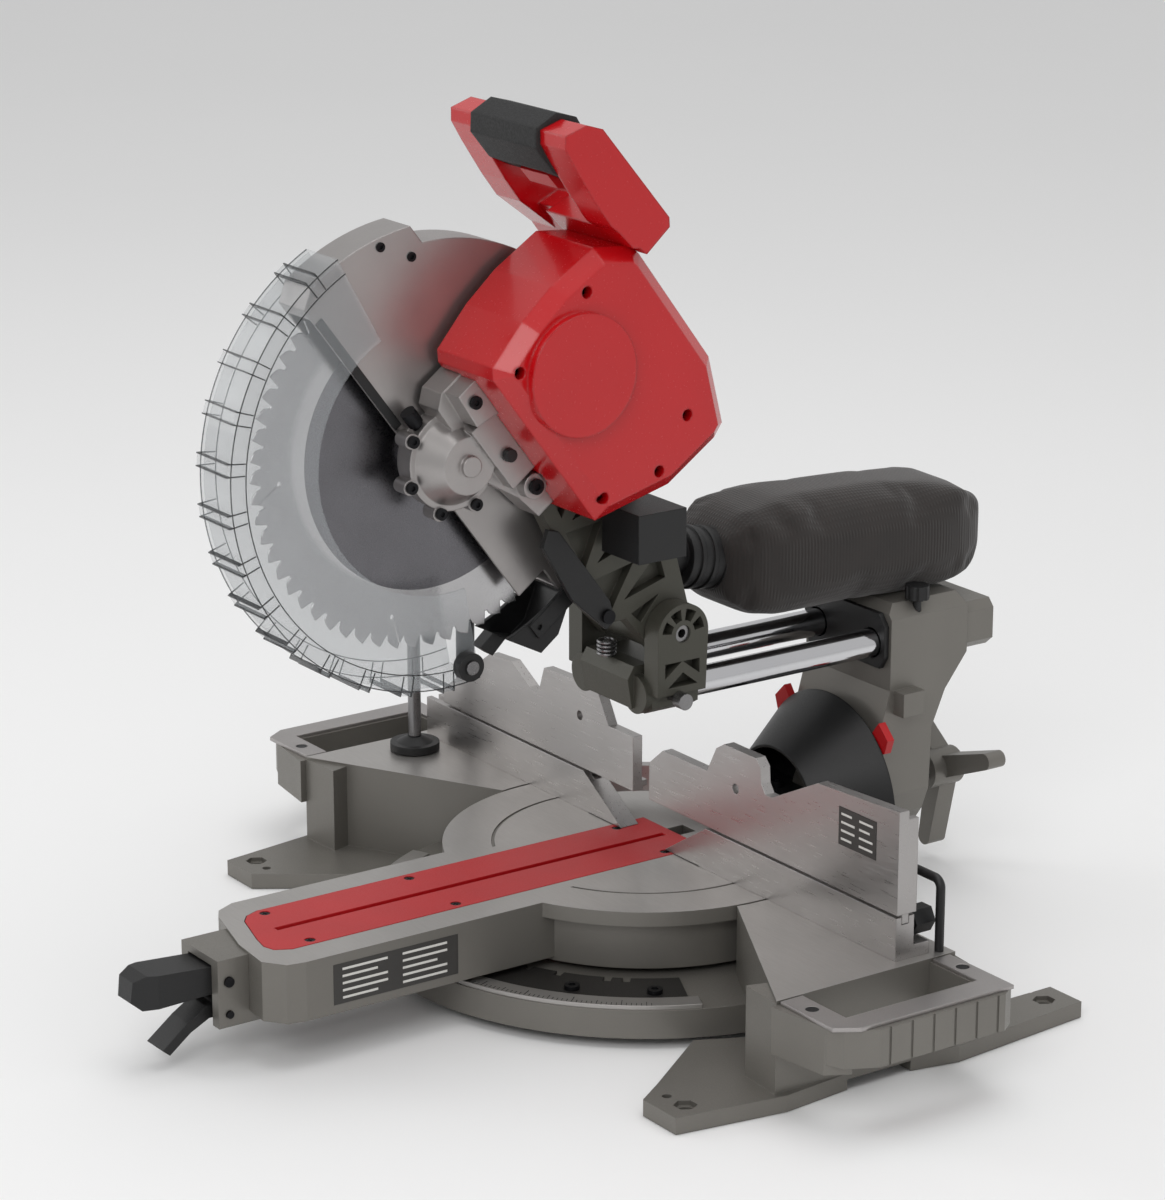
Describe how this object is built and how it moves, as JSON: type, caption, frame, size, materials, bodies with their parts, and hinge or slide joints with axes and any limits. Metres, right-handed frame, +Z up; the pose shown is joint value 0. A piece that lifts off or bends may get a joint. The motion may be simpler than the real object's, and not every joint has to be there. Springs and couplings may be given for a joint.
{
  "type": "sliding miter saw",
  "caption": "Cordless sliding compound miter saw with turntable, sliding fences, tilting bevel arm, rail carriage, hinged saw head, clear blade guard and dust bag",
  "frame": {"origin": "centre of the four bench-bolt holes on the bench plane", "axes": "+X to the operator's right, +Y to the back of the saw along the rails, +Z up"},
  "size_m": [0.808, 0.792, 0.6937],
  "materials": {
    "grey_casting": "satin powder coat on cast alloy",
    "olive_casting": "satin powder coat on cast alloy",
    "bare_alloy": "satin, as machined and tumbled",
    "steel": "brushed",
    "dark_screws": "black oxide",
    "chrome_steel": "hard chrome",
    "red_plastic": "glossy moulding",
    "black_plastic": "fine grained moulding",
    "rubber": "ribbed overmould",
    "clear_plastic": "clear moulded polycarbonate",
    "blade_steel": "ground disc",
    "bag_cloth": "woven cloth",
    "copper_and_iron": "laminated core"
  },
  "bodies": {
    "base": {"base_casting": "grey_casting", "base_fasteners": "dark_screws", "miter_scale_and_detents": "bare_alloy", "lower_fence": "bare_alloy", "fence_bail": "black_plastic", "support_plates": "bare_alloy", "carry_handles": "grey_casting"},
    "turntable": {"turntable": "grey_casting", "turntable_fasteners": "dark_screws", "kerf_plate": "red_plastic", "handle_bracket": "grey_casting", "bevel_drum": "black_plastic"},
    "miter_lever": {"miter_lever": "black_plastic"},
    "detent_lever": {"detent_lever": "black_plastic"},
    "left_upper_fence": {"left_upper_fence": "bare_alloy"},
    "right_upper_fence": {"right_upper_fence": "bare_alloy"},
    "left_fence_knob": {"left_fence_knob": "black_plastic"},
    "right_fence_knob": {"right_fence_knob": "black_plastic"},
    "clamp_arm": {"clamp_arm": "bare_alloy"},
    "clamp_screw": {"clamp_screw": "steel", "clamp_knob_and_pad": "black_plastic"},
    "bevel_arm": {"bevel_housing": "grey_casting", "rail_plate": "black_plastic", "rail_bushings": "black_plastic", "bevel_pivot_bolt": "steel", "bevel_pointers": "red_plastic"},
    "bevel_lock_handle": {"bevel_lock_handle": "grey_casting"},
    "slide_lock_knob": {"slide_lock_knob": "black_plastic"},
    "carriage": {"slide_rails": "chrome_steel", "trunnion": "olive_casting", "rear_cap": "grey_casting", "head_pivot_pin": "steel", "return_spring": "steel"},
    "head_lock_pin": {"head_lock_pin": "steel"},
    "head": {"head_arm": "olive_casting", "upper_guard": "bare_alloy", "guard_trim": "black_plastic", "gear_case": "bare_alloy", "head_fasteners": "dark_screws", "motor_housing": "red_plastic", "motor_stator": "copper_and_iron", "controller_board": "black_plastic", "d_handle": "red_plastic", "grip_sleeve": "rubber", "battery_dock": "black_plastic", "dust_chute": "black_plastic", "dust_pipe": "black_plastic", "dust_bag": "bag_cloth"},
    "trigger": {"trigger": "red_plastic"},
    "lock_off_button": {"lock_off_button": "black_plastic"},
    "spindle_lock_button": {"spindle_lock_button": "black_plastic"},
    "blade": {"saw_blade": "blade_steel", "arbor_set": "steel", "driven_gear": "steel"},
    "intermediate_gear": {"intermediate_gear": "steel"},
    "motor_rotor": {"motor_rotor": "copper_and_iron"},
    "lower_guard": {"lower_guard": "clear_plastic", "guard_roller_pin": "steel"},
    "guard_roller": {"guard_roller": "black_plastic"},
    "guard_link": {"guard_link": "black_plastic"}
  },
  "joints": [
    {"name": "miter_turn", "type": "hinge", "parent": "base", "child": "turntable", "pos_m": [0, 0.01, 0.06], "axis": [0, 0, 1], "range_deg": [-50, 50]},
    {"name": "miter_lever_press", "type": "hinge", "parent": "turntable", "child": "miter_lever", "pos_m": [0, -0.387, 0.066], "axis": [1, 0, 0], "range_deg": [0, 8], "stiffness_Nm_per_rad": 2},
    {"name": "detent_squeeze", "type": "hinge", "parent": "turntable", "child": "detent_lever", "pos_m": [0, -0.387, 0.04], "axis": [1, 0, 0], "range_deg": [-12, 0], "stiffness_Nm_per_rad": 2},
    {"name": "left_fence_slide", "type": "slide", "parent": "base", "child": "left_upper_fence", "axis": [1, 0, 0], "range_m": [-0.09, 0]},
    {"name": "right_fence_slide", "type": "slide", "parent": "base", "child": "right_upper_fence", "axis": [1, 0, 0], "range_m": [0, 0.09]},
    {"name": "left_fence_lock", "type": "hinge", "parent": "base", "child": "left_fence_knob", "pos_m": [-0.24, 0.044, 0.1075], "axis": [0, 1, 0], "range_deg": [-90, 90]},
    {"name": "right_fence_lock", "type": "hinge", "parent": "base", "child": "right_fence_knob", "pos_m": [0.3, 0.044, 0.1075], "axis": [0, 1, 0], "range_deg": [-90, 90]},
    {"name": "clamp_swing", "type": "hinge", "parent": "base", "child": "clamp_arm", "pos_m": [-0.296, 0.036, 0.24], "axis": [0, 0, 1], "range_deg": [-20, 20]},
    {"name": "clamp_lift", "type": "slide", "parent": "clamp_arm", "child": "clamp_screw", "axis": [0, 0, 1], "range_m": [0, 0.12]},
    {"name": "bevel_tilt", "type": "hinge", "parent": "turntable", "child": "bevel_arm", "pos_m": [0, 0.2, 0.086], "axis": [0, 1, 0], "range_deg": [-8, 8]},
    {"name": "bevel_lock_turn", "type": "hinge", "parent": "bevel_arm", "child": "bevel_lock_handle", "pos_m": [0, 0.316, 0.086], "axis": [0, 1, 0], "range_deg": [-60, 60]},
    {"name": "slide_lock_turn", "type": "hinge", "parent": "bevel_arm", "child": "slide_lock_knob", "pos_m": [0.05, 0.246, 0.264], "axis": [0, 0, 1], "range_deg": [-180, 180]},
    {"name": "rail_slide", "type": "slide", "parent": "bevel_arm", "child": "carriage", "axis": [0, 1, 0], "range_m": [0, 0.18]},
    {"name": "head_lock_pull", "type": "slide", "parent": "carriage", "child": "head_lock_pin", "axis": [1, 0, 0], "range_m": [0, 0.006]},
    {"name": "head_tilt", "type": "hinge", "parent": "carriage", "child": "head", "pos_m": [0, 0.004, 0.274], "axis": [1, 0, 0], "range_deg": [0, 53]},
    {"name": "trigger_squeeze", "type": "slide", "parent": "head", "child": "trigger", "axis": [0, -0.6018, 0.7986], "range_m": [0, 0.005], "stiffness_N_per_m": 600},
    {"name": "lock_off_press", "type": "slide", "parent": "head", "child": "lock_off_button", "axis": [0, -0.7986, -0.6018], "range_m": [0, 0.003], "stiffness_N_per_m": 500},
    {"name": "spindle_lock_press", "type": "slide", "parent": "head", "child": "spindle_lock_button", "axis": [-1, 0, 0], "range_m": [0, 0.003], "stiffness_N_per_m": 500},
    {"name": "blade_spin", "type": "hinge", "parent": "head", "child": "blade", "pos_m": [0, -0.19017, 0.43696], "axis": [1, 0, 0], "continuous": true},
    {"name": "intermediate_spin", "type": "hinge", "parent": "head", "child": "intermediate_gear", "pos_m": [0, -0.15783, 0.47377], "axis": [1, 0, 0], "continuous": true},
    {"name": "rotor_spin", "type": "hinge", "parent": "head", "child": "motor_rotor", "pos_m": [0, -0.12813, 0.50758], "axis": [1, 0, 0], "continuous": true},
    {"name": "guard_retract", "type": "hinge", "parent": "head", "child": "lower_guard", "pos_m": [0, -0.19017, 0.43696], "axis": [1, 0, 0], "range_deg": [-126, 0]},
    {"name": "roller_spin", "type": "hinge", "parent": "lower_guard", "child": "guard_roller", "pos_m": [0, -0.17282, 0.27187], "axis": [1, 0, 0], "continuous": true},
    {"name": "guard_link_swing", "type": "hinge", "parent": "head", "child": "guard_link", "pos_m": [0, -0.05925, 0.29646], "axis": [1, 0, 0], "range_deg": [-6, 0]}
  ],
  "couplings": [
    {"joint": "intermediate_spin", "follows": "blade_spin", "ratio": -2.1111},
    {"joint": "rotor_spin", "follows": "blade_spin", "ratio": 6.3333},
    {"joint": "guard_retract", "follows": "head_tilt", "ratio": -2.3585},
    {"joint": "guard_link_swing", "follows": "head_tilt", "ratio": -0.1}
  ]
}
